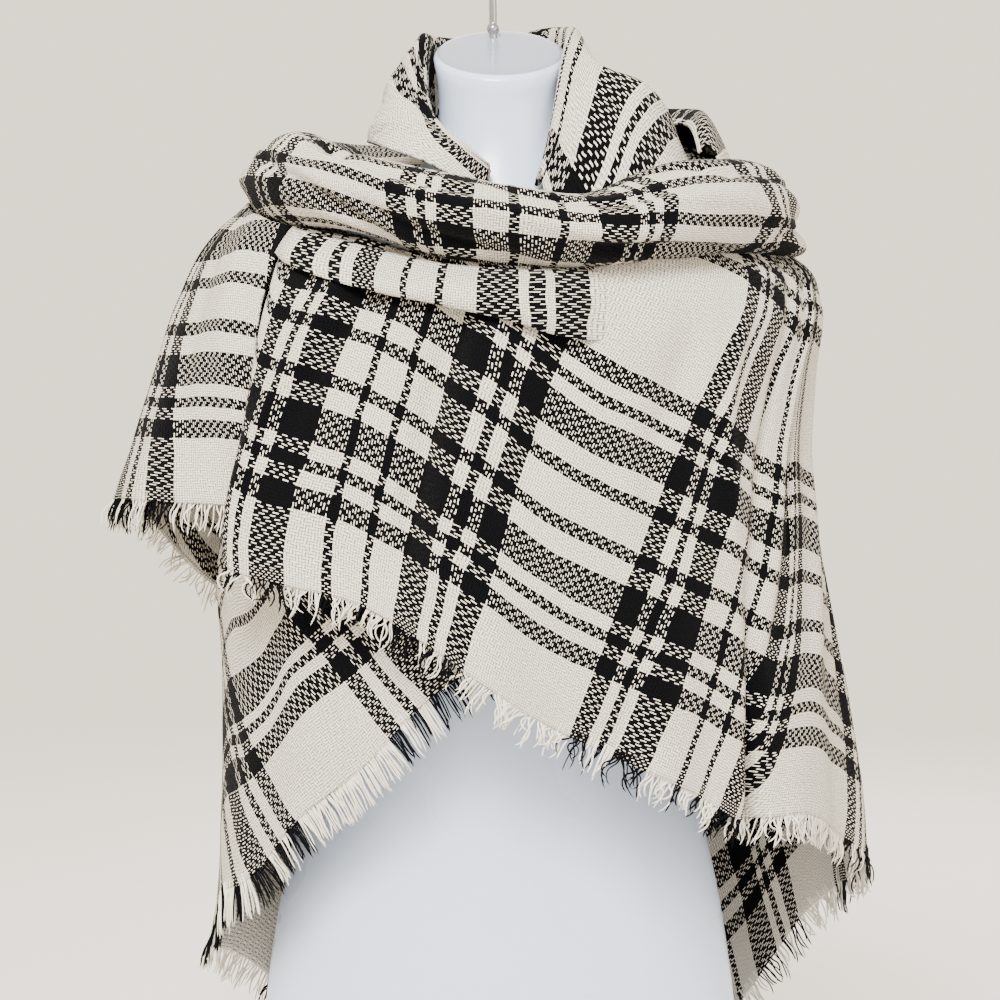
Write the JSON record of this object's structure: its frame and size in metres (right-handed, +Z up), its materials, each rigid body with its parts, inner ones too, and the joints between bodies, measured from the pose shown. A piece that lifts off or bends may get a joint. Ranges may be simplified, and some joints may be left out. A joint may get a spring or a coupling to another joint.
{
  "type": "blanket scarf on a limbless dress form",
  "caption": "Large plaid blanket scarf with frayed edges, wound as a shawl with a rolled cowl and a stand-up collar round a limbless dress form with a hanging hook.",
  "frame": {"origin": "middle of the dress form's flat underside", "axes": "+Z up, -Y out of the chest, +X towards the wearer's left side"},
  "size_m": [0.562, 0.3518, 1.0103],
  "materials": {
    "scarf_cloth": "soft black and off-white plaid weave, matt",
    "fringe_yarn": "loose black and off-white yarn ends",
    "form_plastic": "smooth, softly glossy, bluish white",
    "hook_chrome": "bright plated wire"
  },
  "bodies": {
    "root": {"form_torso": "form_plastic", "front_panel": "scarf_cloth", "left_arm_panel": "scarf_cloth", "back_shawl": "scarf_cloth", "cowl_roll": "scarf_cloth", "under_roll": "scarf_cloth", "collar": "scarf_cloth", "shoulder_fold": "scarf_cloth", "front_fringe": "fringe_yarn", "arm_fringe": "fringe_yarn", "back_fringe": "fringe_yarn", "inner_fringe": "fringe_yarn"},
    "hook": {"hanging_hook": "hook_chrome"}
  },
  "joints": [
    {"name": "hook_swivel", "type": "hinge", "parent": "root", "child": "hook", "pos_m": [-0.005, 0.03, 0.9088], "axis": [0, 0, 1], "continuous": true}
  ]
}
